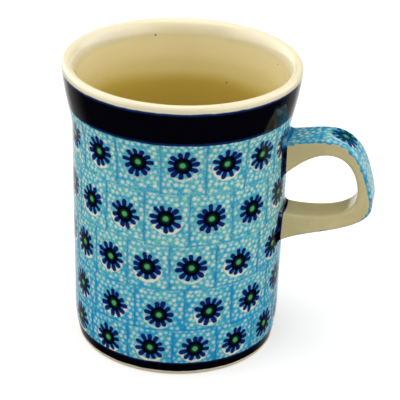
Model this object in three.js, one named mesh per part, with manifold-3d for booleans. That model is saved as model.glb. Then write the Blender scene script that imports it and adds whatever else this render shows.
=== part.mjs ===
// Straight-sided stoneware mug with a flared rim and a strap handle.
//
// Millimetres, +Z up. The origin is on the cup's axis at the plane the mug stands on, and the
// handle points along +X. The cup is one turned and hollowed body. The handle is a separate
// strap, and a thin pad of clay slip joins each of its two roots to the cup wall.

import * as THREE from 'three';
import * as BufferGeometryUtils from 'three/addons/utils/BufferGeometryUtils.js';
import Module from 'manifold-3d';

const wasm = await Module();
wasm.setup();

// Driving dimensions of the cup
const HEIGHT = 101.5;
const RIM_RADIUS = 40.4;          // outermost point of the lip
const BODY_RADIUS = 36.5;         // at half height
const FOOT_RADIUS = 34.3;         // outer edge of the foot ring
const WALL = 4.1;                 // wall thickness of the body
const LIP_OUTSIDE = [1.4, 2];     // the lip's outer rounding: width and height
const LIP_INSIDE = [2.7, 3];      // its softer inner rounding
const FLOOR = 6;                  // thickness of the bottom, from the standing plane
const FOOT_RING_WIDTH = 4.2;
const RECESS = 0.7;               // how far the underside is hollowed inside the foot ring
const FLARE_START = 79;           // height where the rim starts to flare
const FLOOR_FILLET = 7;           // inside radius between floor and wall

// Driving dimensions of the handle
const STRAP_WIDTH = 13;
const STRAP_EDGE = 1.4;           // rounding of the strap's long edges
const TOP_THICKNESS = 6.2;        // thickness of the strap across the top
const BACK_THICKNESS = 5.3;       // and down the back
const REACH = 66.9;               // from the cup's axis to the back of the handle
const UPPER_TOP = 80.5;           // highest point of the handle
const GAP = 0.3;                  // clearance kept between touching pieces
const SLIP = 1.1;                 // thickness of the slip pads
const SLIP_MARGIN = 0.9;          // how far a pad shows round the root of the strap

// Fineness of the surfaces
const TURN_STEPS = 64;
const CURVE_STEPS = 9;
const EDGE_STEPS = 3;

const CREAM = 0xe9dfb4;
const DECORATED = 0x5fb0c4;
const COBALT = 0x0b1440;

// Outer radius of the cup by height: the foot draws in, the body is near straight, the rim flares.
const outerStations = [
  [0, FOOT_RADIUS],
  [2.5, FOOT_RADIUS + 0.55],
  [6, BODY_RADIUS - 1.1],
  [11, BODY_RADIUS - 0.7],
  [22, BODY_RADIUS - 0.55],
  [HEIGHT / 2, BODY_RADIUS],
  [FLARE_START - 6, BODY_RADIUS + 0.3],
  [FLARE_START + 1, BODY_RADIUS + 0.5],
  [FLARE_START + 6, BODY_RADIUS + 1.4],
  [FLARE_START + 13, RIM_RADIUS - 1.1],
  [HEIGHT - LIP_OUTSIDE[1], RIM_RADIUS],
].map(([z, radius]) => new THREE.Vector2(radius, z));

// Outer wall from the standing plane to the start of the lip.
function outerWall() {
  return new THREE.SplineCurve(outerStations).getPoints(3 * CURVE_STEPS);
}

// Radius of the outer wall at height z.
function wallRadius(z) {
  const wall = outerWall();
  const next = wall.findIndex((point) => point.y >= z);
  const [low, high] = [wall[Math.max(next - 1, 0)], wall[next]];
  const part = high.y > low.y ? (z - low.y) / (high.y - low.y) : 0;
  return THREE.MathUtils.lerp(low.x, high.x, part);
}

// Points of a rounding about (x, z), of the given width and height, between two angles in degrees.
function rounding(x, z, [width, height], from, to) {
  const curve = new THREE.EllipseCurve(
    x, z, width, height,
    THREE.MathUtils.degToRad(from), THREE.MathUtils.degToRad(to), from > to,
  );
  return curve.getPoints(2 * EDGE_STEPS);
}

function cupBody() {
  const crest = RIM_RADIUS - LIP_OUTSIDE[0];
  const outside = rounding(crest, HEIGHT - LIP_OUTSIDE[1], LIP_OUTSIDE, 0, 90);
  const inside = rounding(crest, HEIGHT - LIP_INSIDE[1], LIP_INSIDE, 90, 180);
  const corner = FLOOR + FLOOR_FILLET;
  const cornerX = wallRadius(corner) - WALL - FLOOR_FILLET;
  const ringInner = FOOT_RADIUS - FOOT_RING_WIDTH;
  const bore = [FLARE_START + 9, FLARE_START + 3, FLARE_START - 4, HEIGHT / 2];
  const profile = [
    new THREE.Vector2(0, RECESS),
    new THREE.Vector2(ringInner - RECESS, RECESS),
    new THREE.Vector2(ringInner, 0),
    ...outerWall(),
    ...outside.slice(1),
    ...inside.slice(1),
    ...bore.map((z) => new THREE.Vector2(wallRadius(z) - WALL, z)),
    ...rounding(cornerX, corner, [FLOOR_FILLET, FLOOR_FILLET], 0, -90),
    new THREE.Vector2(0, FLOOR),
  ];
  return solid(turned(profile));
}

// A closed profile in (radius, height), turned about the Z axis.
function turned(profile) {
  const geometry = new THREE.LatheGeometry(profile, TURN_STEPS);
  geometry.rotateX(Math.PI / 2);
  return geometry;
}

// Side outline of the strap, in (x, z). It runs over the top and back under the lower arm, then
// returns along the finger gap. Both roots start inside the wall and are trimmed to it.
function strapOutline() {
  const rootX = BODY_RADIUS - 3.4;
  const [innerTop, innerX] = [UPPER_TOP - TOP_THICKNESS, REACH - BACK_THICKNESS];
  const outline = new THREE.Shape();
  outline.moveTo(rootX, UPPER_TOP - 2.3);
  outline.bezierCurveTo(40, UPPER_TOP - 1.9, 45, UPPER_TOP, 51.5, UPPER_TOP);
  outline.bezierCurveTo(58.5, UPPER_TOP, REACH - 4, 74, REACH - 2.6, 68.8);
  outline.bezierCurveTo(REACH - 1.2, 64.3, REACH, 60.5, REACH, 57);
  outline.bezierCurveTo(REACH, 52.8, 62.2, 50.4, 57, 48.3);
  outline.bezierCurveTo(51.5, 46.1, 44, 44.6, 39, 42.4);
  outline.lineTo(rootX, 40);
  outline.lineTo(rootX, 52.2);
  outline.bezierCurveTo(40, 51.1, 46, 51.2, 50.5, 51.9);
  outline.bezierCurveTo(56, 52.8, innerX, 55.5, innerX, 61);
  outline.bezierCurveTo(innerX, 67.3, 58.5, innerTop, 51.5, innerTop);
  outline.bezierCurveTo(46.5, innerTop, 42, 70.6, 38, 67);
  outline.lineTo(rootX, 62.8);
  return outline;
}

// The strap before trimming: the side outline, as wide as the strap, with rounded edges.
function strap() {
  const geometry = new THREE.ExtrudeGeometry(strapOutline(), {
    depth: STRAP_WIDTH - 2 * STRAP_EDGE,
    curveSegments: CURVE_STEPS,
    bevelThickness: STRAP_EDGE,
    bevelSize: STRAP_EDGE,
    bevelOffset: -STRAP_EDGE,
    bevelSegments: EDGE_STEPS,
  });
  geometry.translate(0, 0, -STRAP_WIDTH / 2 + STRAP_EDGE);
  geometry.rotateX(Math.PI / 2);
  return solid(geometry);
}

// The space inside the outer wall, grown by an offset, over the height of the handle.
function wallCore(offset) {
  const [low, high] = [FLARE_START - 43, FLARE_START + 4];
  const stations = [low, HEIGHT / 2, FLARE_START - 14, FLARE_START - 3, high];
  const profile = [
    new THREE.Vector2(0, low),
    ...stations.map((z) => new THREE.Vector2(wallRadius(z) + offset, z)),
    new THREE.Vector2(0, high),
  ];
  return solid(turned(profile));
}

// A thin pad of slip on the wall, a little larger than the strap's root between two heights.
function slipPad(bottom, top) {
  const halfWidth = STRAP_WIDTH / 2 + SLIP_MARGIN;
  const [low, high] = [bottom - SLIP_MARGIN, top + SLIP_MARGIN];
  const corner = 3;
  const outline = new THREE.Shape();
  outline.moveTo(-halfWidth + corner, low);
  outline.lineTo(halfWidth - corner, low);
  outline.absarc(halfWidth - corner, low + corner, corner, -Math.PI / 2, 0);
  outline.absarc(halfWidth - corner, high - corner, corner, 0, Math.PI / 2);
  outline.absarc(-halfWidth + corner, high - corner, corner, Math.PI / 2, Math.PI);
  outline.absarc(-halfWidth + corner, low + corner, corner, Math.PI, 1.5 * Math.PI);
  const depth = 14;
  const block = new THREE.ExtrudeGeometry(outline, { depth, curveSegments: 5, bevelEnabled: false });
  block.rotateX(Math.PI / 2);
  block.rotateZ(Math.PI / 2);
  block.translate(BODY_RADIUS - depth / 2, 0, 0);
  return solid(block).intersect(wallCore(GAP + SLIP)).subtract(wallCore(GAP));
}

// A closed three.js geometry as a solid that can be joined and cut.
function solid(geometry) {
  geometry.deleteAttribute('normal');
  geometry.deleteAttribute('uv');
  const merged = BufferGeometryUtils.mergeVertices(geometry, 1e-4);
  const mesh = new wasm.Mesh({
    numProp: 3,
    vertProperties: new Float32Array(merged.attributes.position.array),
    triVerts: new Uint32Array(merged.index.array),
  });
  return new wasm.Manifold(mesh);
}

// A named mesh with its own material.
function piece(name, shape, color, roughness) {
  const mesh = shape.getMesh();
  const geometry = new THREE.BufferGeometry();
  geometry.setAttribute('position', new THREE.BufferAttribute(mesh.vertProperties, 3));
  geometry.setIndex(new THREE.BufferAttribute(mesh.triVerts, 1));
  geometry.computeVertexNormals();
  const material = new THREE.MeshStandardMaterial({ color, roughness, metalness: 0 });
  const result = new THREE.Mesh(geometry, material);
  result.name = name;
  return result;
}

const mug = new THREE.Group();
mug.name = 'stoneware_mug';
mug.add(
  piece('cup_body', cupBody(), DECORATED, 0.15),
  piece('handle', strap().subtract(wallCore(2 * GAP + SLIP)), CREAM, 0.2),
  piece('upper_slip_joint', slipPad(65.2, UPPER_TOP - 2.1), COBALT, 0.2),
  piece('lower_slip_joint', slipPad(41.4, 51.8), COBALT, 0.2),
);

export default mug;
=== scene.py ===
"""Looks of a stamped stoneware mug: glazed cup, strap handle and the slip joints between them.

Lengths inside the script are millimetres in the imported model's frame: +Z up from the standing
plane, +X towards the handle. Meshes are written in metres, which is what the frame uses.
"""
import math

import bmesh
import bpy
import numpy as np
from mathutils import Matrix, Vector


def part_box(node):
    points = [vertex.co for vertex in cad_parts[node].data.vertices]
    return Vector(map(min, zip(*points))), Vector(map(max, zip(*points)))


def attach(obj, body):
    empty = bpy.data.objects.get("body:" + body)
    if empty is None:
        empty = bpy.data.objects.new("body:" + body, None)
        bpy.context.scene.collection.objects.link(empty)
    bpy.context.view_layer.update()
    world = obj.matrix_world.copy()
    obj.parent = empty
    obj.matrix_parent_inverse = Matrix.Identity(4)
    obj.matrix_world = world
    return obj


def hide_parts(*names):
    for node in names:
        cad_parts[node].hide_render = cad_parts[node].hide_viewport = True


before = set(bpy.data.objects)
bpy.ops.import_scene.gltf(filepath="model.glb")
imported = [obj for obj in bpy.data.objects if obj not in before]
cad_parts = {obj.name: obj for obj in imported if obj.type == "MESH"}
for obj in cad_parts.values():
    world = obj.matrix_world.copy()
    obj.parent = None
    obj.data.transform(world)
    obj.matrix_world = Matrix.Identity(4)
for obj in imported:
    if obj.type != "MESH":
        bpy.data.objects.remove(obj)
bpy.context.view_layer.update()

MM = 0.001


def box_mm(node):
    """Lowest and highest corner of a CAD node, in millimetres."""
    low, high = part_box(node)
    return np.array(low) / MM, np.array(high) / MM


CUP_HIGH = box_mm("cup_body")[1]
HANDLE_LOW, HANDLE_HIGH = box_mm("handle")

# Cup. Its height and rim come from the CAD node's box. The rest are the CAD's dimensions, apart
# from the inside of the lip, which is rounded more softly.
HEIGHT = CUP_HIGH[2]
RIM_RADIUS = CUP_HIGH[1]
BODY_RADIUS = RIM_RADIUS - 3.9
FOOT_RADIUS = RIM_RADIUS - 6.1
WALL = 4.1
LIP_OUTSIDE = (1.4, 2.0)
LIP_INSIDE = (3.4, 6.5)
FLOOR = 6.0
FLOOR_FILLET = 7.0
FOOT_RING_WIDTH = 4.2
RECESS = 0.7
FLARE_START = 79.0

# Parts of the cup that the CAD has no such dimension for
FLARE_RUN = 21.0          # height over which wall_field flares
RING_ROUNDING = 1.2       # width of the step from the foot ring to the underside

# Handle. Its reach, top and width come from the CAD node's box, and its two thicknesses are the
# CAD's. Its edges are rounded a little more, and the root flare and inner taper are only here.
REACH = HANDLE_HIGH[0]
UPPER_TOP = HANDLE_HIGH[2]
STRAP_WIDTH = HANDLE_HIGH[1] - HANDLE_LOW[1]
TOP_THICKNESS = 6.2
BACK_THICKNESS = 5.3
ROOT_X = BODY_RADIUS - 2.0     # where both roots end, inside the wall
FILLET = 1.25                  # how far the slip reaches up the strap and over the wall
STRAP_EDGE = 1.6
ROOT_FLARE = 0.75              # how much wider each side of the strap is at the wall
FLARE_DECAY = 2.2              # distance from the wall over which that fades
INNER_TAPER = 0.6              # how far each side draws in at the strap's inner face
ROOT_SECTIONS = 40             # cross-sections from an end, enough to leave the wall

# Heights of the painted bands
NAVY_TOP = HEIGHT - 2.4
NAVY_BOTTOM = HEIGHT - 14.3
LOWER_NAVY_TOP = 5.1
LOWER_NAVY_BOTTOM = 1.35

# Rows of stamps from the bottom up. Each gives the height of its flowers, how far it rises away
# from its lowest point, its number of stamps, the azimuth of one flower, how unevenly it is
# spaced, and the azimuth where it is closest. Azimuth 0 is -Y, and 90 is the handle.
ROWS = (
    (11.9, 1.3, 15, -3, 0.10, 120),
    (27.6, 3.3, 14, 2, 0.05, 160),
    (42.7, 0.8, 15, 19, 0.20, -80),
    (60.6, 0.5, 15, 5, 0.05, -30),
    (79.3, 0.0, 15, 13, 0.10, 70),
)
LOWEST_AZIMUTH = -9

TURN_STEPS = 320

# The cup's flat colour map, in map widths. A strip is its left, right and height.
MAP_GAP = 0.008
OUTSIDE_STRIP = (MAP_GAP, 0.588, 0.484)
INSIDE_STRIP = (0.604, 0.992, 0.32)
DISC_SCALE = 0.0027       # map widths in a millimetre
DISC_UP = 0.84
UNDER_AT, BOTTOM_AT = 0.700, 0.896

# The strap's flat colour map, in map widths
STRAP_MARGIN = 0.02
STRAP_LONG = 0.96
STRAP_ROUND = 0.43
SECOND_HALF_UP = 0.47
END_RADIUS = 0.012
END_UP = 0.97
END_PLACES = (0.3, 0.7)


# ---------------------------------------------------------------- curves

def spline(points, steps):
    """A Catmull-Rom curve through the points, with the given steps between each pair."""
    points = np.asarray(points, float)
    last = len(points) - 1
    out = []
    for i in range(last):
        p0, p1, p2, p3 = points[max(i - 1, 0)], points[i], points[i + 1], points[min(i + 2, last)]
        for t in np.arange(steps) / steps:
            v1, v2 = (p2 - p0) / 2, (p3 - p1) / 2
            out.append(
                p1 + v1 * t + (3 * (p2 - p1) - 2 * v1 - v2) * t**2
                + (2 * (p1 - p2) + v1 + v2) * t**3
            )
    out.append(points[last])
    return np.array(out)


def rounding(x, z, size, start, end, steps):
    """Points of an elliptical rounding about (x, z), between two angles in degrees."""
    angles = np.radians(np.linspace(start, end, steps + 1))
    return np.stack([x + size[0] * np.cos(angles), z + size[1] * np.sin(angles)], axis=1)


def bezier(p0, p1, p2, p3, steps=24):
    """Points of a cubic Bezier curve."""
    t = np.linspace(0, 1, steps + 1)[:, None]
    p0, p1, p2, p3 = map(np.array, (p0, p1, p2, p3))
    return (1 - t)**3 * p0 + 3 * (1 - t)**2 * t * p1 + 3 * (1 - t) * t**2 * p2 + t**3 * p3


def resample(points, count):
    """The same line with evenly spaced points."""
    lengths = np.r_[0, np.cumsum(np.linalg.norm(np.diff(points, axis=0), axis=1))]
    wanted = np.linspace(0, lengths[-1], count)
    return np.stack([np.interp(wanted, lengths, points[:, k]) for k in range(points.shape[1])], 1)


OUTER_WALL = spline([
    (FOOT_RADIUS, 0),
    (FOOT_RADIUS + 0.55, 2.5),
    (BODY_RADIUS - 1.1, 6),
    (BODY_RADIUS - 0.7, 11),
    (BODY_RADIUS - 0.55, 22),
    (BODY_RADIUS, HEIGHT / 2),
    (BODY_RADIUS + 0.3, FLARE_START - 6),
    (BODY_RADIUS + 0.5, FLARE_START + 1),
    (BODY_RADIUS + 1.4, FLARE_START + 6),
    (RIM_RADIUS - 1.1, FLARE_START + 13),
    (RIM_RADIUS, HEIGHT - LIP_OUTSIDE[1]),
], 14)


def wall_radius(z):
    """Radius of the cup's outer wall at a height."""
    return np.interp(z, OUTER_WALL[:, 1], OUTER_WALL[:, 0])


# ---------------------------------------------------------------- meshes

def make_mesh(name, points, faces):
    """A smooth-shaded mesh object from points in millimetres."""
    mesh = bpy.data.meshes.new(name)
    mesh.from_pydata((np.asarray(points) * MM).tolist(), [], faces)
    mesh.validate()
    mesh.polygons.foreach_set("use_smooth", [True] * len(mesh.polygons))
    mesh.update()
    piece = bpy.data.objects.new(name, mesh)
    bpy.context.scene.collection.objects.link(piece)
    return piece


def grid_faces(rows, columns):
    """Quads of a grid whose columns close on themselves, outward for counter-clockwise columns."""
    faces = []
    for i in range(rows - 1):
        low, high = i * columns, (i + 1) * columns
        for j in range(columns):
            k = (j + 1) % columns
            faces.append((low + j, low + k, high + k, high + j))
    return faces


def bake_layer(piece, spots):
    """Stores where every face corner lies on the piece's flat colour map, in map widths."""
    layer = piece.data.uv_layers.new(name="OFBake")
    layer.data.foreach_set("uv", np.asarray(spots, np.float32).ravel())


def cup_layout(profile):
    """Where the cup's face corners lie on its flat map. The outside is in two halves, one above
    the other. The inside is beside it in the same way, and the underside and floor are discs."""
    foot = np.flatnonzero(profile[:, 1] < 1e-6)[-1]
    crest = profile[:, 1].argmax()
    floor = crest + np.flatnonzero(profile[crest:, 1] < FLOOR + 1e-6)[0]
    i, j = np.meshgrid(np.arange(len(profile) - 1), np.arange(TURN_STEPS), indexing="ij")
    row = np.stack([i, i, i + 1, i + 1], axis=2)
    column = np.stack([j, j + 1, j + 1, j], axis=2)
    half = (j >= TURN_STEPS / 2)[..., None]
    across = column / (TURN_STEPS / 2) - half
    length = np.r_[0, np.cumsum(np.linalg.norm(np.diff(profile, axis=0), axis=1))]

    def strip(first, last, left, right, tall):
        up = (length[row] - length[first]) / (length[last] - length[first])
        return left + across * (right - left), MAP_GAP + half * (tall + 2 * MAP_GAP) + up * tall

    def disc(x, turn, radius):
        return x + radius * np.cos(turn) * DISC_SCALE, DISC_UP + radius * np.sin(turn) * DISC_SCALE

    turn, radius = column * (2 * math.pi / TURN_STEPS), profile[row, 0]
    outside, inside = strip(foot, crest, *OUTSIDE_STRIP), strip(crest, floor, *INSIDE_STRIP)
    under, bottom = disc(UNDER_AT, turn, radius), disc(BOTTOM_AT, turn, radius)
    zones = [((i >= foot) & (i < crest))[..., None], ((i >= crest) & (i < floor))[..., None],
             (i < foot)[..., None]]
    quads = np.stack([
        np.select(zones, (outside[k], inside[k], under[k]), bottom[k]) for k in range(2)
    ], axis=-1)
    fans = []
    for j in range(TURN_STEPS):
        here, there = (a * 2 * math.pi / TURN_STEPS for a in (j, j + 1))
        first, last = profile[0, 0], profile[-1, 0]
        fans += [(UNDER_AT, DISC_UP), disc(UNDER_AT, there, first), disc(UNDER_AT, here, first)]
        fans += [(BOTTOM_AT, DISC_UP), disc(BOTTOM_AT, here, last), disc(BOTTOM_AT, there, last)]
    return np.vstack([quads.reshape(-1, 2), fans])


def cup_profile():
    """Half section of the cup from the middle of the underside to the middle of the floor."""
    crest = RIM_RADIUS - LIP_OUTSIDE[0]
    ring_inner = FOOT_RADIUS - FOOT_RING_WIDTH
    corner_z = FLOOR + FLOOR_FILLET
    corner_x = wall_radius(corner_z) - WALL - FLOOR_FILLET
    lip_end = HEIGHT - LIP_INSIDE[1]
    under = [(r, RECESS) for r in np.linspace(1, ring_inner - RING_ROUNDING, 14)]
    lip = rounding(crest, lip_end, LIP_INSIDE, 90, 162, 16)[1:]
    bore_heights = (FLARE_START + 13, FLARE_START + 8, FLARE_START + 2, FLARE_START - 5,
                    HEIGHT / 2, 25, corner_z)
    bore = [lip[-1], *((wall_radius(z) - WALL, z) for z in bore_heights)]
    floor = [(r, FLOOR) for r in np.linspace(corner_x, 1, 14)]
    return np.vstack([
        under,
        rounding(ring_inner - RING_ROUNDING, 0.35, (0.9, 0.35), 90, -30, 6)[:4],
        [(ring_inner + 0.1, 0), (FOOT_RADIUS - 0.5, 0)],
        rounding(FOOT_RADIUS - 0.45, 0.45, (0.45, 0.45), -90, -10, 4),
        OUTER_WALL[OUTER_WALL[:, 1] > 0.5],
        rounding(crest, HEIGHT - LIP_OUTSIDE[1], LIP_OUTSIDE, 0, 90, 10)[1:],
        lip[:-1],
        spline(bore, 10),
        rounding(corner_x, corner_z, (FLOOR_FILLET, FLOOR_FILLET), 0, -90, 14)[1:-1],
        floor,
    ])


def turned_cup():
    """The cup as one closed turned body, very slightly out of round as cast ware is."""
    profile = cup_profile()
    turn = np.arange(TURN_STEPS) / TURN_STEPS * 2 * math.pi
    radius, height = profile[:, 0][:, None], profile[:, 1][:, None]
    wobble = 0.09 * np.sin(2 * turn + 0.7) + 0.05 * np.sin(3 * turn + 2.1)
    radius = radius * (1 + wobble * (height / HEIGHT) / BODY_RADIUS)
    radius = np.minimum(radius, RIM_RADIUS)
    rings = np.stack([
        radius * np.sin(turn), -radius * np.cos(turn), height + 0 * turn
    ], axis=2).reshape(-1, 3)
    rows = len(profile)
    faces = grid_faces(rows, TURN_STEPS)
    under, floor = len(rings), len(rings) + 1
    points = np.vstack([rings, [(0, 0, RECESS), (0, 0, FLOOR)]])
    last = (rows - 1) * TURN_STEPS
    for j in range(TURN_STEPS):
        k = (j + 1) % TURN_STEPS
        faces.append((under, k, j))
        faces.append((floor, last + j, last + k))
    piece = make_mesh("cup", points, faces)
    bake_layer(piece, cup_layout(profile))
    return piece


# ---------------------------------------------------------------- handle

def strap_sides():
    """Outer and inner side line of the strap in (x, z), matched point by point."""
    top, inner_top, inner_x = UPPER_TOP, UPPER_TOP - TOP_THICKNESS, REACH - BACK_THICKNESS
    outer = [
        bezier((ROOT_X, top - 2.3), (40, top - 2.0), (45, top), (51.5, top)),
        np.vstack([
            bezier((51.5, top), (58.5, top), (REACH - 4, 74), (REACH - 2.6, 68.8)),
            bezier((REACH - 2.6, 68.8), (REACH - 1.2, 64.3), (REACH, 60.5), (REACH, 57))[1:],
        ]),
        bezier((REACH, 57), (REACH, 52.8), (62.2, 50.4), (57, 48.3)),
        np.vstack([
            bezier((57, 48.3), (51.5, 46.1), (44, 44.6), (39, 42.4)),
            [(ROOT_X, 40.6)],
        ]),
    ]
    inner = [
        np.vstack([
            [(ROOT_X, 64.0)],
            bezier((38, 67), (42, 70.6), (46.5, inner_top), (51.5, inner_top)),
        ]),
        bezier((51.5, inner_top), (58.5, inner_top), (inner_x, 67.3), (inner_x, 61)),
        bezier((inner_x, 61), (inner_x, 55.5), (56, 52.8), (50.5, 51.9)),
        bezier((50.5, 51.9), (46, 51.2), (40, 51.1), (ROOT_X, 52.0)),
    ]
    counts = (26, 30, 22, 26)
    lines = []
    for side in (outer, inner):
        parts = [resample(part, n)[:-1] for part, n in zip(side, counts)]
        line = np.vstack([*parts, side[-1][-1:]])
        for _ in range(3):
            line[1:-1] = (line[:-2] + 2 * line[1:-1] + line[2:]) / 4
        lines.append(line)
    return lines


def rounded_section(half_width, half_thick):
    """Points round a rounded rectangle, as (across, outward), from the middle of one side."""
    corners = []
    for quarter in range(4):
        side = 1 if quarter in (0, 3) else -1
        face = 1 if quarter in (0, 1) else -1
        turn = np.radians(np.linspace(90 * quarter, 90 * quarter + 90, 7))
        corners.append(np.stack([
            side * (half_width - STRAP_EDGE) + STRAP_EDGE * np.cos(turn),
            face * (half_thick - STRAP_EDGE) + STRAP_EDGE * np.sin(turn),
        ], axis=1))
    points = []
    for quarter, corner in enumerate(corners):
        points.append(corner)
        start, end = corner[-1], corners[(quarter + 1) % 4][0]
        count = 14 if quarter % 2 == 0 else 8
        steps = np.linspace(0, 1, count + 1)[1:-1, None]
        points.append(start + (end - start) * steps)
    return np.vstack(points)


def strap_sections():
    """Points of the strap's cross-sections, with the run along the strap, the distance across
    it, and the depth below its outer face for each point."""
    outer, inner = strap_sides()
    centre = (outer + inner) / 2
    half = np.linalg.norm(outer - inner, axis=1) / 2
    out = (outer - inner) / (2 * half[:, None])
    run = np.r_[0, np.cumsum(np.linalg.norm(np.diff(outer, axis=0), axis=1))]
    from_wall = np.maximum(centre[:, 0] - BODY_RADIUS, 0)
    flare = ROOT_FLARE * np.exp(-from_wall / FLARE_DECAY)
    rings, across, depth = [], [], []
    for middle, reach, way, extra in zip(centre, half, out, flare):
        section = rounded_section(STRAP_WIDTH / 2 + extra, reach)
        taper = 1 - INNER_TAPER * (1 - section[:, 1] / reach) / STRAP_WIDTH
        side = section[:, 0] * taper
        place = middle + way * section[:, 1:]
        rings.append(np.stack([place[:, 0], side, place[:, 1]], axis=1))
        across.append(side)
        depth.append(reach - section[:, 1])
    return np.array(rings), run, np.array(across), np.array(depth)


def strap_layout(rings, run):
    """Where the strap's face corners lie on its flat map: unrolled, in two halves along its run,
    with the two hidden ends as small discs above them."""
    rows, steps = rings.shape[:2]
    i, j = np.meshgrid(np.arange(rows - 1), np.arange(steps), indexing="ij")
    row = np.stack([i, i, i + 1, i + 1], axis=2)
    column = np.stack([j, j + 1, j + 1, j], axis=2)
    middle = rows // 2
    half = (i >= middle)[..., None]
    start, end = np.where(half, run[middle], 0), np.where(half, run[-1], run[middle])
    section = np.vstack([rings[middle], rings[middle, :1]])
    round_it = np.r_[0, np.cumsum(np.linalg.norm(np.diff(section, axis=0), axis=1))]
    round_it /= round_it[-1]
    u = STRAP_MARGIN + (run[row] - start) / (end - start) * STRAP_LONG
    v = STRAP_MARGIN + half * SECOND_HALF_UP + round_it[column] * STRAP_ROUND
    turn = np.arange(steps) * (2 * math.pi / steps)
    ends = [np.stack([x + END_RADIUS * np.cos(way), END_UP + END_RADIUS * np.sin(way)], axis=1)
            for x, way in zip(END_PLACES, (-turn[::-1], turn))]
    return np.vstack([np.stack([u, v], axis=-1).reshape(-1, 2), *ends])


def strap_handle():
    """The handle as one closed strap whose two roots end inside the cup's wall."""
    rings, run, across, depth = strap_sections()
    rows, steps = rings.shape[:2]
    faces = grid_faces(rows, steps)
    faces.append(tuple(range(steps))[::-1])
    faces.append(tuple(range((rows - 1) * steps, rows * steps)))
    piece = make_mesh("handle_strap", rings.reshape(-1, 3), faces)
    bake_layer(piece, strap_layout(rings, run))
    for name, values in (
        ("run", np.repeat(run, steps)),
        ("across", across.ravel()),
        ("depth", depth.ravel()),
    ):
        layer = piece.data.attributes.new(name, "FLOAT", "POINT")
        layer.data.foreach_set("value", values.astype(np.float32))
    return piece


def slip_fillet(name, upper):
    """The band of cobalt slip round one root, as a closed ring with a hollow fillet outside."""
    rings = strap_sections()[0]
    rings = rings if upper else rings[::-1]
    steps = rings.shape[1]
    sections = []
    for j in range(steps):
        line = rings[:ROOT_SECTIONS, j]
        clear = np.hypot(line[:, 0], line[:, 1]) - wall_radius(line[:, 2])
        touch, off = (
            np.array([np.interp(level, clear, line[:, k]) for k in range(3)])
            for level in (0, FILLET)
        )
        sections.append((touch, off))
    touch = np.array([s[0] for s in sections])
    off = np.array([s[1] for s in sections])
    along = np.roll(touch, -1, axis=0) - np.roll(touch, 1, axis=0)
    radial = touch * (1, 1, 0)
    radial /= np.linalg.norm(radial, axis=1)[:, None]
    outward = np.cross(along, radial)
    outward /= np.linalg.norm(outward, axis=1)[:, None]
    middle = touch.mean(axis=0)
    if np.sum(outward * (touch - middle)) < 0:
        outward = -outward
    foot = touch + outward * FILLET
    spread = wall_radius(foot[:, 2]) / np.hypot(foot[:, 0], foot[:, 1])
    foot[:, :2] *= spread[:, None]
    parts = [touch - outward * 0.5 - radial * 0.5, foot - radial * 0.3]
    bulge = touch + (outward + radial) * FILLET * 0.12
    for t in np.linspace(0, 1, 7):
        parts.append((1 - t)**2 * foot + 2 * t * (1 - t) * bulge + t**2 * off)
    parts.append(off - outward * 0.3)
    count = len(parts)
    points = np.stack(parts, axis=1).reshape(-1, 3)
    faces = []
    for j in range(steps):
        k = (j + 1) % steps
        for a in range(count):
            b = (a + 1) % count
            faces.append((j * count + a, k * count + a, k * count + b, j * count + b))
    return make_mesh(name, points, faces)


def recalculate_outside(piece):
    """Turns every face of a closed mesh outward."""
    work = bmesh.new()
    work.from_mesh(piece.data)
    bmesh.ops.recalc_face_normals(work, faces=work.faces)
    if work.calc_volume(signed=True) < 0:
        bmesh.ops.reverse_faces(work, faces=work.faces)
    work.to_mesh(piece.data)
    work.free()


# ---------------------------------------------------------------- node arithmetic

class Field:
    """A number that varies over a surface, so that patterns can be written as arithmetic."""

    def __init__(self, tree, socket):
        self.tree = tree
        self.socket = socket

    def node(self, operation, *values):
        made = self.tree.nodes.new("ShaderNodeMath")
        made.operation = operation
        for slot, value in zip(made.inputs, values):
            connect(self.tree, value, slot)
        return Field(self.tree, made.outputs[0])

    def __add__(self, other):
        return self.node("ADD", self, other)

    def __sub__(self, other):
        return self.node("SUBTRACT", self, other)

    def __mul__(self, other):
        return self.node("MULTIPLY", self, other)

    def __truediv__(self, other):
        return self.node("DIVIDE", self, other)

    def __rtruediv__(self, other):
        return self.node("DIVIDE", other, self)

    def __rsub__(self, other):
        return self.node("SUBTRACT", other, self)

    def abs(self):
        return self.node("ABSOLUTE", self)

    def floor(self):
        return self.node("FLOOR", self)

    def sin(self):
        return self.node("SINE", self)

    def cos(self):
        return self.node("COSINE", self)

    def root(self):
        return self.node("SQRT", self)

    def least(self, other):
        return self.node("MINIMUM", self, other)

    def most(self, other):
        return self.node("MAXIMUM", self, other)

    def mixed(self, other, amount):
        """This number where the amount is 0, and the other one where it is 1."""
        return (other - self) * amount + self

    def above(self, other):
        return self.node("GREATER_THAN", self, other)

    def wrap(self, span):
        return self.node("FLOORED_MODULO", self, span)

    def angle_with(self, other):
        return self.node("ARCTAN2", self, other)

    def rise(self, start, end):
        """0 before start and 1 after end, with a smooth step between. end may be below start."""
        made = self.tree.nodes.new("ShaderNodeMapRange")
        made.interpolation_type = "SMOOTHSTEP"
        for name, value in (("Value", self), ("From Min", start), ("From Max", end)):
            connect(self.tree, value, made.inputs[name])
        return Field(self.tree, made.outputs[0])


def connect(tree, value, slot):
    """Sets a socket to a number or colour, or links a field or an output to it."""
    if isinstance(value, Field):
        tree.links.new(value.socket, slot)
    elif isinstance(value, bpy.types.NodeSocket):
        tree.links.new(value, slot)
    else:
        slot.default_value = value


def vector(tree, x, y, z=0.0):
    made = tree.nodes.new("ShaderNodeCombineXYZ")
    for slot, value in zip(made.inputs, (x, y, z)):
        connect(tree, value, slot)
    return made.outputs[0]


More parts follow.
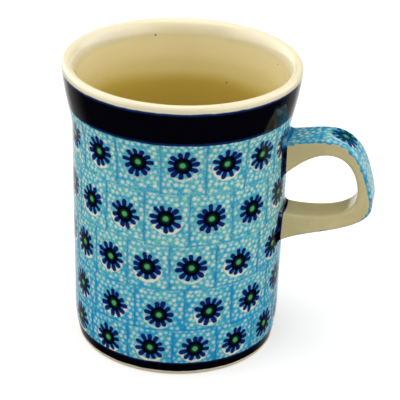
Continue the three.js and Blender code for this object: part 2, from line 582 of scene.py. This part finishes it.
def noise(tree, place, scale, detail=2.0, roughness=0.5):
    """Smooth noise from 0 to 1 at a place in millimetres, with features 1 / scale wide."""
    made = tree.nodes.new("ShaderNodeTexNoise")
    made.inputs["Scale"].default_value = scale
    made.inputs["Detail"].default_value = detail
    made.inputs["Roughness"].default_value = roughness
    tree.links.new(place, made.inputs["Vector"])
    return Field(tree, made.outputs[0])


def cells(tree, place, scale, randomness):
    """Distance to the nearest scattered point, in cell widths, and that cell's random number."""
    made = tree.nodes.new("ShaderNodeTexVoronoi")
    made.inputs["Scale"].default_value = scale
    made.inputs["Randomness"].default_value = randomness
    tree.links.new(place, made.inputs["Vector"])
    split = tree.nodes.new("ShaderNodeSeparateColor")
    tree.links.new(made.outputs["Color"], split.inputs[0])
    return Field(tree, made.outputs["Distance"]), Field(tree, split.outputs[0])


def dots_field(tree, u, v, pitch, scatter):
    """Distance in millimetres to the nearest dot of a scattered triangular lattice, and that
    dot's random number."""
    rise = math.sqrt(3) / 2
    across = (u - v * (0.5 / rise)) / pitch
    up = v / (rise * pitch)
    made = tree.nodes.new("ShaderNodeTexVoronoi")
    made.voronoi_dimensions = "2D"
    made.inputs["Scale"].default_value = 1
    made.inputs["Randomness"].default_value = scatter
    tree.links.new(vector(tree, across, up), made.inputs["Vector"])
    split = tree.nodes.new("ShaderNodeSeparateXYZ")
    tree.links.new(made.outputs["Position"], split.inputs[0])
    dot_across, dot_up = Field(tree, split.outputs[0]), Field(tree, split.outputs[1])
    off_u = (dot_across + dot_up * 0.5) * pitch - u
    off_v = dot_up * (rise * pitch) - v
    own = tree.nodes.new("ShaderNodeSeparateColor")
    tree.links.new(made.outputs["Color"], own.inputs[0])
    return (off_u * off_u + off_v * off_v).root(), Field(tree, own.outputs[0])


def chance(tree, x, y, seed):
    """Three random numbers from 0 to 1 that belong to the whole numbers x and y."""
    made = tree.nodes.new("ShaderNodeTexWhiteNoise")
    tree.links.new(vector(tree, x, y, seed), made.inputs["Vector"])
    split = tree.nodes.new("ShaderNodeSeparateColor")
    tree.links.new(made.outputs["Color"], split.inputs[0])
    return [Field(tree, out) for out in split.outputs[:3]]


def blend(tree, base, top, amount):
    """The top colour laid over the base colour by an amount from 0 to 1."""
    made = tree.nodes.new("ShaderNodeMix")
    made.data_type = "RGBA"
    connect(tree, amount, made.inputs[0])
    for value, slot in ((base, made.inputs[6]), (top, made.inputs[7])):
        connect(tree, (*value, 1) if isinstance(value, tuple) else value, slot)
    return made.outputs[2]


def place_mm(tree):
    """The surface point in millimetres, as a vector and as three fields."""
    where = tree.nodes.new("ShaderNodeTexCoord")
    scale = tree.nodes.new("ShaderNodeVectorMath")
    scale.operation = "SCALE"
    scale.inputs["Scale"].default_value = 1 / MM
    tree.links.new(where.outputs["Object"], scale.inputs[0])
    split = tree.nodes.new("ShaderNodeSeparateXYZ")
    tree.links.new(scale.outputs[0], split.inputs[0])
    return scale.outputs[0], [Field(tree, out) for out in split.outputs]


def stored(tree, name):
    """A number kept on the mesh's points."""
    made = tree.nodes.new("ShaderNodeAttribute")
    made.attribute_name = name
    return Field(tree, made.outputs["Fac"])


# ---------------------------------------------------------------- colours

CREAM = (0.72, 0.66, 0.475)
CREAM_INSIDE = (0.87, 0.755, 0.41)
# The next two are painted shade: the inside of the cup darker and more golden deeper down.
CREAM_LOW_SHADE = (0.665, 0.55, 0.225)
OCHRE_DEEP_SHADE = (0.56, 0.415, 0.085)
# The next one is the cup's cream made darker and yellower: painted shade over the whole strap.
CREAM_HANDLE_SHADED = (0.56, 0.475, 0.245)
DOT_CREAM = (0.62, 0.74, 0.62)
DOT_WARM = (0.80, 0.68, 0.52)
DISC_CREAM = (0.74, 0.72, 0.56)
DISC_TEAL = (0.065, 0.38, 0.46)
TURQUOISE = (0.038, 0.345, 0.45)
TEAL = (0.12, 0.43, 0.41)
SKY = (0.022, 0.30, 0.52)
DEEP_BLUE = (0.003, 0.20, 0.43)
PETAL_NAVY = (0.003, 0.004, 0.125)
CORE_BLACK = (0.0005, 0.001, 0.008)
CORE_GREEN = (0.085, 0.37, 0.13)
HALO_GREEN = (0.001, 0.022, 0.012)
CLEAR_BLUE = (0.005, 0.285, 0.54)
LIGHT_GRAIN = (0.23, 0.61, 0.63)
BAND_NAVY = (0.0005, 0.0005, 0.003)
BAND_EDGE = (0.006, 0.028, 0.13)
FOOT_CLAY = (0.70, 0.62, 0.44)
SPECK = (0.16, 0.09, 0.03)
# The next one is partly the strap's blue sponging and partly painted shade that darkens its lit top.
HANDLE_BLUE_AND_SHADE = (0.008, 0.14, 0.205)


# ---------------------------------------------------------------- decoration

PETALS = 11
PETAL_LENGTH = 4.75       # of the shortest petal, from the flower's middle
PETAL_WIDTH = 0.43
DISC_RADIUS = 5.5
DOT_PITCH = 2.1
EDGE_SHIFT = 1.8          # how far a tile's lower edge may differ from its neighbour's
BAND_LAP = 1.5            # how far the stamped field runs under the navy bands
SPECK_SPREAD = 5.0
LIP_SPECK = (-16.2, 32.1, HEIGHT - 4.9)
ARM_SPECK = (45.5, -STRAP_WIDTH / 2, 49.5)
HANDLE_TILE = 15.5
HANDLE_FLOWER_RUN = 21.5


def flower(tree, u, v, luck, turn):
    """Masks of one stamped daisy at (u, v) millimetres: the whole flower, its core, and the
    halo and the dot in the middle."""
    radius = (u * u + v * v).root()
    angle = v.angle_with(u) / (2 * math.pi) * PETALS + turn
    index = (angle + 0.5).floor()
    off_axis = (angle - index) * (2 * math.pi / PETALS)
    size = chance(tree, index.wrap(PETALS), luck[0] * 97, 3.3)
    side = radius * (off_axis + (size[2] - 0.5) * 0.16).sin()
    along = radius * off_axis.cos()
    length = size[0] * 0.8 + PETAL_LENGTH
    width = size[1] * 0.2 + PETAL_WIDTH + along * 0.078
    past_end = (along - length + 0.8).most(0)
    petal = (side * side + past_end * past_end).root() - width
    edge = petal.least(radius - 3.0)
    grain = noise(tree, vector(tree, u, v, luck[1] * 40), 1.3, 3) - 0.5
    edge = edge + grain * 0.45
    whole = edge.rise(0.16, -0.16)
    core = (radius + grain * 0.9).rise(3.7, 2.5)
    eye = (radius + grain * 0.5).rise(1.25, 0.6)
    halo = (radius + grain * 0.6).rise(2.1, 1.3)
    return whole, core, halo, eye


class Tile:
    """A point's place on its stamped tile. (u, v) is measured from the tile's middle, and edges are
    the distances to its side, top and bottom, all in millimetres. luck and more are the tile's own
    random numbers, and blueness is how blue its ground is, from 0 to 1."""

    def __init__(self, tree, u, v, edges, luck, more, blueness):
        self.tree, self.u, self.v = tree, u, v
        self.to_side, self.to_top, self.to_bottom = edges
        self.luck, self.more, self.blueness = luck, more, blueness
        self.free = vector(tree, u + luck[0] * 91, v + luck[1] * 83, luck[2] * 40)
        self.grain = noise(tree, self.free, 1.9, 3, 0.65) - 0.5


def sponged(tile):
    """The sponged turquoise ground, bluer in pools and along the tile's edges."""
    tree, grain, luck, blueness = tile.tree, tile.grain, tile.luck, tile.blueness
    wash = noise(tree, tile.free, 0.3, 2)
    ground = blend(tree, TURQUOISE, TEAL, (wash + grain * 0.9).rise(0.35, 0.6))
    ground = blend(tree, ground, SKY, (wash * 0.8 + grain * 1.2).rise(0.45, 0.15) * 0.9)
    fine = noise(tree, tile.free, 2.0, 2)
    ground = blend(tree, ground, LIGHT_GRAIN, fine.rise(0.50, 0.66) * (0.7 - blueness * 0.25))
    ground = blend(tree, ground, CLEAR_BLUE, fine.rise(0.47, 0.33) * 0.7)
    pool_place = vector(tree, tile.u + luck[1] * 50, tile.v + luck[2] * 50, 7.0)
    pool = noise(tree, pool_place, 0.22, 2)
    pool = (pool + grain * 0.25 + (blueness - 0.3) * 0.22).rise(0.48, 0.72)
    ground = blend(tree, ground, CLEAR_BLUE, pool * 0.8)
    border = tile.to_side.least(tile.to_bottom).least(tile.to_top)
    border = border + grain * 1.5 + (tile.more[0] - 0.5) * 2
    return blend(tree, ground, CLEAR_BLUE, border.rise(3.2, 0.6) * blueness * 0.75)


def dotted(tile, ground):
    """The ground with scattered cream dots, each in a paler ring."""
    tree, luck = tile.tree, tile.luck
    distance, own = dots_field(tree, tile.u + luck[0] * 3, tile.v + luck[1] * 3, DOT_PITCH, 0.55)
    distance = distance + tile.grain * 0.5
    size = own * 0.26 + 0.40 - tile.blueness * 0.08
    dots = (distance - size).rise(0.34, -0.28)
    inside = tile.to_side.least(tile.to_top).least(tile.to_bottom).rise(0.1, 0.7)
    ground = blend(tree, ground, LIGHT_GRAIN, (distance - size).rise(0.75, 0.1) * inside * 0.45)
    dot_colour = blend(tree, DOT_CREAM, DOT_WARM, distance.rise(0.65, 0.15) * own.rise(0.1, 0.8))
    strong = own * 0.35 + 0.6 - tile.blueness * 0.22
    return blend(tree, ground, dot_colour, dots * inside * strong)


def seamed(tile, colour):
    """The colour with patchy blue seams at the tile's sides and foot, and a pale one at its head."""
    tree, grain, more = tile.tree, tile.grain, tile.more
    seam = (tile.to_side + grain * 1.3).rise(1.3, 0.1)
    patchy = noise(tree, vector(tree, tile.v, tile.u.above(0) * 9 + more[0] * 30, 2.0), 0.28, 2)
    colour = blend(tree, colour, DEEP_BLUE, seam * patchy.rise(0.3, 0.6) * (more[1] * 0.35 + 0.5))
    patchy = noise(tree, vector(tree, tile.u, more[2] * 30, 5.0), 0.25, 2)
    foot_seam = (tile.to_bottom + grain * 1.2).rise(1.1, 0.1) * patchy.rise(0.40, 0.58)
    colour = blend(tree, colour, DEEP_BLUE, foot_seam * (tile.blueness * 0.7 + 0.1))
    head_seam = (tile.to_top + grain * 0.5).rise(0.9, 0.3) * patchy.rise(0.50, 0.38)
    return blend(tree, colour, DOT_CREAM, head_seam * 0.25)


def with_disc(tile, colour, here):
    """The colour with the round stamp under the flower: teal, with a cream ring on one side."""
    tree, grain, luck = tile.tree, tile.grain, tile.luck
    u = tile.u - (luck[0] - 0.5) * 1.1
    v = tile.v - (luck[1] - 0.5) * 0.9 + 0.5
    radius = (u * u + v * v).root() + grain * 0.6
    disc = radius.rise(DISC_RADIUS, DISC_RADIUS - 0.45) * here
    outline = radius.rise(DISC_RADIUS - 0.3, DISC_RADIUS)
    outline = outline * radius.rise(DISC_RADIUS + 0.6, DISC_RADIUS + 0.1) * here
    colour = blend(tree, colour, TURQUOISE, outline * 0.3)
    lean = u * ((tile.more[2] - 0.65) * -1.2) + v
    ring = radius.rise(3.6, 4.8) * lean.rise(1.5, -3.5) * luck[0].rise(-0.3, 0.6)
    disc_colour = blend(tree, DISC_TEAL, DISC_CREAM, (ring + grain * 0.9).rise(0.12, 0.7))
    return blend(tree, colour, disc_colour, disc * 0.92)


def with_flower(tile, colour, here):
    """The colour with the tile's daisy stamped on it."""
    tree, luck, more = tile.tree, tile.luck, tile.more
    u = tile.u - (luck[2] - 0.5) * 0.7
    v = tile.v - (more[0] - 0.5) * 0.7
    whole, core, halo, eye = flower(tree, u, v, luck, (more[1] - 0.5) * 0.5)
    colour = blend(tree, colour, PETAL_NAVY, whole * here * 0.98)
    colour = blend(tree, colour, CORE_BLACK, whole * core * here)
    colour = blend(tree, colour, HALO_GREEN, halo * here)
    return blend(tree, colour, CORE_GREEN, eye * here * 0.95)


def stamped(tile, flower_here):
    """Colour of one stamped tile, with its disc and flower where flower_here is 1."""
    colour = seamed(tile, dotted(tile, sponged(tile)))
    colour = with_disc(tile, colour, flower_here)
    return with_flower(tile, colour, flower_here)


def row_tiles(azimuth, row):
    """One row of stamps: the flowers' height, and across, half width and own number of the tile
    that a point is in."""
    height, rise, count, start, uneven, closest = row
    pitch = 2 * math.pi / count
    start, closest = math.radians(start), math.radians(closest)
    drift = (azimuth - closest).sin() * uneven - uneven * math.sin(start - closest)
    turns = (azimuth + drift - start) / pitch
    column = (turns + 0.5).floor()
    level = (azimuth - math.radians(LOWEST_AZIMUTH)).cos() * -rise + height
    half = pitch * BODY_RADIUS / 2 / ((azimuth - closest).cos() * uneven + 1)
    return level, (turns - column) * 2 * half, half, column.wrap(count)


def body_pattern(tree, azimuth, z):
    """Colour of the stamped field: rows of tiles round the cup, each with its flower. A tile's
    lower edge is where the next row down begins, and it shifts a little from tile to tile."""
    below = row_tiles(azimuth, ROWS[0])
    level, u, half, number = below
    bottom = z * 0 + (LOWER_NAVY_TOP - BAND_LAP)
    top = z * 0 + (NAVY_BOTTOM + BAND_LAP)
    for index, row in enumerate(ROWS[1:], 1):
        above = row_tiles(azimuth, row)
        shift = chance(tree, above[3], index, 5.5)[0] - 0.5
        edge = (below[0] + above[0]) * 0.5 + shift * EDGE_SHIFT
        within = z.above(edge)
        top = top.least(edge.mixed(NAVY_BOTTOM + BAND_LAP, within))
        bottom = bottom.mixed(edge, within)
        level = level.mixed(above[0], within)
        u = u.mixed(above[1], within)
        half = half.mixed(above[2], within)
        number = number.mixed(above[3] + index * 20, within)
        below = above
    luck = chance(tree, number, 1.0, 1.7)
    more = chance(tree, number, 2.0, 8.1)
    v = z - level - (more[2] - 0.5) * 0.9
    edges = (half - u.abs(), top - z, z - bottom)
    return stamped(Tile(tree, u, v, edges, luck, more, z.rise(60, 5)), 1.0)


def speckled(tree, place, colour, marked):
    """The colour with a few iron specks burnt through the glaze, and one more at a marked point."""
    distance, own = cells(tree, place, 1 / SPECK_SPREAD, 1.0)
    size = (own - 0.5) * 0.7
    colour = blend(tree, colour, SPECK, (distance * SPECK_SPREAD - size).rise(0.08, -0.06) * 0.8)
    away = tree.nodes.new("ShaderNodeVectorMath")
    away.operation = "DISTANCE"
    tree.links.new(place, away.inputs[0])
    away.inputs[1].default_value = marked
    return blend(tree, colour, SPECK, Field(tree, away.outputs["Value"]).rise(0.55, 0.25) * 0.8)


def cup_colour(tree):
    """The cup's whole colour: inside, darkening as painted shade deeper down, lip, navy band,
    stamped field, lower band and foot.
    """
    place, (x, y, z) = place_mm(tree)
    radius = (x * x + y * y).root()
    azimuth = x.angle_with(y * -1)
    shaky = noise(tree, place, 0.25, 2) - 0.5
    fine = noise(tree, place, 1.8, 2) - 0.5
    level = z + shaky * 0.5 + fine * 0.12

    cloud = noise(tree, place, 0.05, 3)
    clay = blend(tree, CREAM, CREAM_INSIDE, cloud.rise(0.3, 0.75) * 0.25)
    within = radius.rise(RIM_RADIUS - 2.2, RIM_RADIUS - 3.2)
    below_lip = (z + shaky * 2).rise(HEIGHT - 2.5, HEIGHT - 7)
    inside = blend(tree, clay, CREAM_INSIDE, below_lip * within)
    # Painted shade: the inner wall turns darker and more golden towards the floor of the cup.
    inside = blend(tree, inside, CREAM_LOW_SHADE, z.rise(HEIGHT - 6, HEIGHT - 17) * within)
    deep_shade = (z + (cloud - 0.5) * 4).rise(HEIGHT - 15.5, HEIGHT - 21.5)
    inside = blend(tree, inside, OCHRE_DEEP_SHADE, deep_shade * within)
    inside = speckled(tree, place, inside, LIP_SPECK)

    outside = body_pattern(tree, azimuth, z)
    band = level.rise(NAVY_BOTTOM - 0.12, NAVY_BOTTOM + 0.12)
    outside = blend(tree, outside, BAND_EDGE, band)
    outside = blend(tree, outside, BAND_NAVY, level.rise(NAVY_BOTTOM + 0.1, NAVY_BOTTOM + 1.3))
    outside = blend(tree, outside, BAND_EDGE, level.rise(NAVY_TOP - 1.1, NAVY_TOP - 0.3))
    lower = level.rise(LOWER_NAVY_TOP + 0.1, LOWER_NAVY_TOP - 0.1)
    outside = blend(tree, outside, BAND_EDGE, lower)
    outside = blend(tree, outside, BAND_NAVY, level.rise(LOWER_NAVY_TOP, LOWER_NAVY_TOP - 0.9))
    foot = level.rise(LOWER_NAVY_BOTTOM + 0.12, LOWER_NAVY_BOTTOM - 0.12)
    outside = blend(tree, outside, FOOT_CLAY, foot)
    lip = level.rise(NAVY_TOP - 0.15, NAVY_TOP + 0.15)
    outside = blend(tree, outside, inside, lip)

    hollow = (wall_field(z) - radius).rise(1.6, 2.0) * z.above(FLOOR - 1.5)
    return place, z, blend(tree, outside, inside, hollow)


def wall_field(z):
    """Roughly the cup's outer radius at a height, by straight stretches."""
    flare = (z - FLARE_START).most(0) * ((RIM_RADIUS - BODY_RADIUS - 0.5) / FLARE_RUN)
    return flare + (BODY_RADIUS + 0.3)


GLAZE_ROUGHNESS = 0.07
GLAZE_IOR = 1.5
GLAZE_SPECULAR = 0.32
WAVE_DEPTH = 0.35
WAVE_STRENGTH = 0.35


def ceramic(name, colour_of, rough_below=None):
    """A glazed material: painted colour, soft waves in the glaze, fine changes in its gloss, and
    a rougher surface below a height if one is given."""
    material = bpy.data.materials.new(name)
    material.use_nodes = True
    tree = material.node_tree
    shader = tree.nodes["Principled BSDF"]
    place, z, colour = colour_of(tree)
    tree.links.new(colour, shader.inputs["Base Color"])
    shade = noise(tree, place, 0.35, 3)
    rough = shade * 0.07 + GLAZE_ROUGHNESS
    if rough_below is not None:
        rough = rough + z.rise(rough_below + 0.2, rough_below - 0.2) * 0.5
    connect(tree, rough, shader.inputs["Roughness"])
    shader.inputs["IOR"].default_value = GLAZE_IOR
    shader.inputs["Specular IOR Level"].default_value = GLAZE_SPECULAR
    waves = noise(tree, place, 0.12, 2) + noise(tree, place, 0.9, 2) * 0.06
    bump = tree.nodes.new("ShaderNodeBump")
    bump.inputs["Strength"].default_value = WAVE_STRENGTH
    bump.inputs["Distance"].default_value = WAVE_DEPTH * MM
    connect(tree, waves, bump.inputs["Height"])
    tree.links.new(bump.outputs[0], shader.inputs["Normal"])
    return material


def handle_colour(tree):
    """Cream strap with a stamped outer face whose border is ragged; its cream, and in part its
    stamping, are darkened as painted shade.
    """
    place, (_, _, z) = place_mm(tree)
    run, across, depth = stored(tree, "run"), stored(tree, "across"), stored(tree, "depth")
    turns = (run - HANDLE_FLOWER_RUN) / HANDLE_TILE
    column = (turns + 0.5).floor()
    u = (turns - column) * HANDLE_TILE
    luck = chance(tree, column, 2.0, 4.4)
    more = chance(tree, column, 3.0, 6.2)
    here = column.abs().rise(0.6, 0.4)
    half = STRAP_WIDTH / 2
    edges = (HANDLE_TILE / 2 - u.abs(), half - across, across + half)
    painted = stamped(Tile(tree, u, across - 0.7, edges, luck, more, z * 0 + 0.35), here)
    patches = noise(tree, place, 0.33, 3)
    painted = blend(tree, painted, DEEP_BLUE, patches.rise(0.5, 0.7) * 0.4)
    # Partly patchy blue sponging, partly painted shade: a darker blue over the whole stamped face,
    # stronger in patches.
    painted = blend(tree, painted, HANDLE_BLUE_AND_SHADE, patches.rise(0.55, 0.35) * 0.38 + 0.04)
    ragged = (noise(tree, place, 0.55, 2) - 0.5) * 2.4
    from_side = (half - across.abs()).most(0).least(2)
    edge = depth + ragged + z.rise(55, 50) * 0.8 - from_side * 0.6
    painted = blend(tree, painted, DEEP_BLUE, edge.rise(0.0, 0.7) * 0.15)
    cloud = noise(tree, place, 0.08, 3)
    # Painted shade: the strap's cream is darker than the cup's.
    cream = blend(tree, CREAM_HANDLE_SHADED, CREAM_INSIDE, cloud.rise(0.4, 0.8) * 0.3)
    cream = speckled(tree, place, cream, ARM_SPECK)
    return place, z, blend(tree, painted, cream, edge.rise(0.85, 1.15))


def slip_colour(tree):
    """Cobalt slip, thinner and bluer in places."""
    place, (_, _, z) = place_mm(tree)
    thin = noise(tree, place, 0.5, 3).rise(0.45, 0.75)
    colour = blend(tree, BAND_NAVY, BAND_EDGE, thin)
    return place, z, blend(tree, colour, DEEP_BLUE, z.rise(UPPER_TOP - 4.5, UPPER_TOP - 2.8) * 0.7)


# ---------------------------------------------------------------- stage

CAMERA_AZIMUTH = math.radians(11)
CAMERA_DISTANCE = 506.0
CAMERA_HEIGHT = 303.0
CAMERA_ROLL = math.radians(1.87)
AIM_RIGHT = 7.3
AIM_HEIGHT = 49.4
LENS = 147.2
SENSOR_WIDTH = 36

FLOOR_HALF = 4.0          # metres
FLOOR_DROP = 0.00005      # metres, so that the floor and the foot don't share a plane
FLOOR_WHITE = (0.67, 0.66, 0.645, 1)
FLOOR_GLOW = 0.38


def make_camera():
    """The camera, which looks down on the mug and is turned a little about its own axis."""
    side = Vector((math.cos(CAMERA_AZIMUTH), math.sin(CAMERA_AZIMUTH), 0))
    back = Vector((math.sin(CAMERA_AZIMUTH), -math.cos(CAMERA_AZIMUTH), 0))
    spot = back * CAMERA_DISTANCE + Vector((0, 0, CAMERA_HEIGHT))
    aim = side * AIM_RIGHT + Vector((0, 0, AIM_HEIGHT))
    data = bpy.data.cameras.new("camera")
    data.sensor_width = SENSOR_WIDTH
    data.lens = LENS
    data.clip_start, data.clip_end = 0.01, 50
    camera = bpy.data.objects.new("camera", data)
    bpy.context.scene.collection.objects.link(camera)
    turn = (aim - spot).to_track_quat("-Z", "Y").to_matrix().to_4x4()
    roll = Matrix.Rotation(CAMERA_ROLL, 4, "Z")
    camera.matrix_world = Matrix.Translation(spot * MM) @ turn @ roll
    bpy.context.scene.camera = camera


def make_floor():
    """A pale floor just under the mug. Its glow, which only the camera sees, makes it near white,
    and glossy reflections don't see the floor at all."""
    size = FLOOR_HALF
    floor = bpy.data.objects.new("floor", bpy.data.meshes.new("floor"))
    corners = [(-size, -size, 0), (size, -size, 0), (size, size, 0), (-size, size, 0)]
    floor.data.from_pydata(corners, [], [(0, 1, 2, 3)])
    floor.location.z = -FLOOR_DROP
    bpy.context.scene.collection.objects.link(floor)
    material = bpy.data.materials.new("floor_paper")
    material.use_nodes = True
    shader = material.node_tree.nodes["Principled BSDF"]
    shader.inputs["Base Color"].default_value = FLOOR_WHITE
    shader.inputs["Roughness"].default_value = 0.9
    shader.inputs["Specular IOR Level"].default_value = 0.0
    shader.inputs["Emission Color"].default_value = (1, 1, 1, 1)
    ways = material.node_tree.nodes.new("ShaderNodeLightPath")
    seen = Field(material.node_tree, ways.outputs["Is Camera Ray"])
    connect(material.node_tree, seen * FLOOR_GLOW, shader.inputs["Emission Strength"])
    floor.data.materials.append(material)
    floor.visible_glossy = False


def area_light(name, spot, aim, size, power):
    """A rectangular light at a spot in metres, turned to face another."""
    data = bpy.data.lights.new(name, "AREA")
    data.shape = "RECTANGLE"
    data.size, data.size_y = size
    data.energy = power
    light = bpy.data.objects.new(name, data)
    light.location = spot
    light.rotation_mode = "QUATERNION"
    light.rotation_quaternion = (Vector(aim) - Vector(spot)).to_track_quat("-Z", "Y")
    bpy.context.scene.collection.objects.link(light)


def make_lights():
    """Soft studio light: a large light above, and a tent that lights the mug mostly from above and
    the sides. Reflections see that tent as bright at the sides and low behind, and dark in front."""
    world = bpy.data.worlds.new("tent")
    bpy.context.scene.world = world
    world.use_nodes = True
    tree = world.node_tree
    tree.nodes.clear()
    where = tree.nodes.new("ShaderNodeTexCoord")
    split = tree.nodes.new("ShaderNodeSeparateXYZ")
    tree.links.new(where.outputs["Generated"], split.inputs[0])
    side, away, up = (Field(tree, out) for out in split.outputs)
    behind = away * math.cos(CAMERA_AZIMUTH) - side * math.sin(CAMERA_AZIMUTH)
    lit = behind.rise(0.3, 1.05) * 0.62 + behind.rise(0.7, 0.95) * (side * -0.3 + 0.8)
    lit = lit * up.rise(0.1, -0.1) + side.abs().rise(0.45, 0.8) * up.rise(-0.15, 0.1) * 4.5 + 0.02
    ways = tree.nodes.new("ShaderNodeLightPath")
    glossy = Field(tree, ways.outputs["Is Glossy Ray"])
    soft = up.rise(0.2, 0.9) * 0.8 + side.abs().rise(0.4, 0.9) * (side * -0.05 + 1.25) + 0.33
    strength = soft.mixed(lit, glossy)
    background = tree.nodes.new("ShaderNodeBackground")
    connect(tree, strength, background.inputs["Strength"])
    output = tree.nodes.new("ShaderNodeOutputWorld")
    tree.links.new(background.outputs[0], output.inputs[0])
    area_light("above", (-0.08, -0.12, 1.1), (0, 0, 0.05), (0.9, 0.9), 7.1)


# ---------------------------------------------------------------- assembly

def main():
    make_camera()
    make_floor()
    make_lights()
    bpy.context.scene.view_settings.view_transform = "Standard"

    cup = turned_cup()
    cup.data.materials.append(ceramic("painted_cup", cup_colour, rough_below=LOWER_NAVY_BOTTOM))
    handle = strap_handle()
    handle.data.materials.append(ceramic("painted_strap", handle_colour))
    slip = ceramic("slip_glaze", slip_colour)
    pieces = [(cup, "cup_body", "decorated_glaze"), (handle, "handle", "cream_glaze")]
    for side in ("upper", "lower"):
        ring = slip_fillet(f"{side}_slip", side == "upper")
        ring.data.materials.append(slip)
        pieces.append((ring, f"{side}_slip_joint", "cobalt_slip"))
    for piece, node, slot in pieces:
        recalculate_outside(piece)
        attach(piece, "root")
        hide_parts(node)


main()
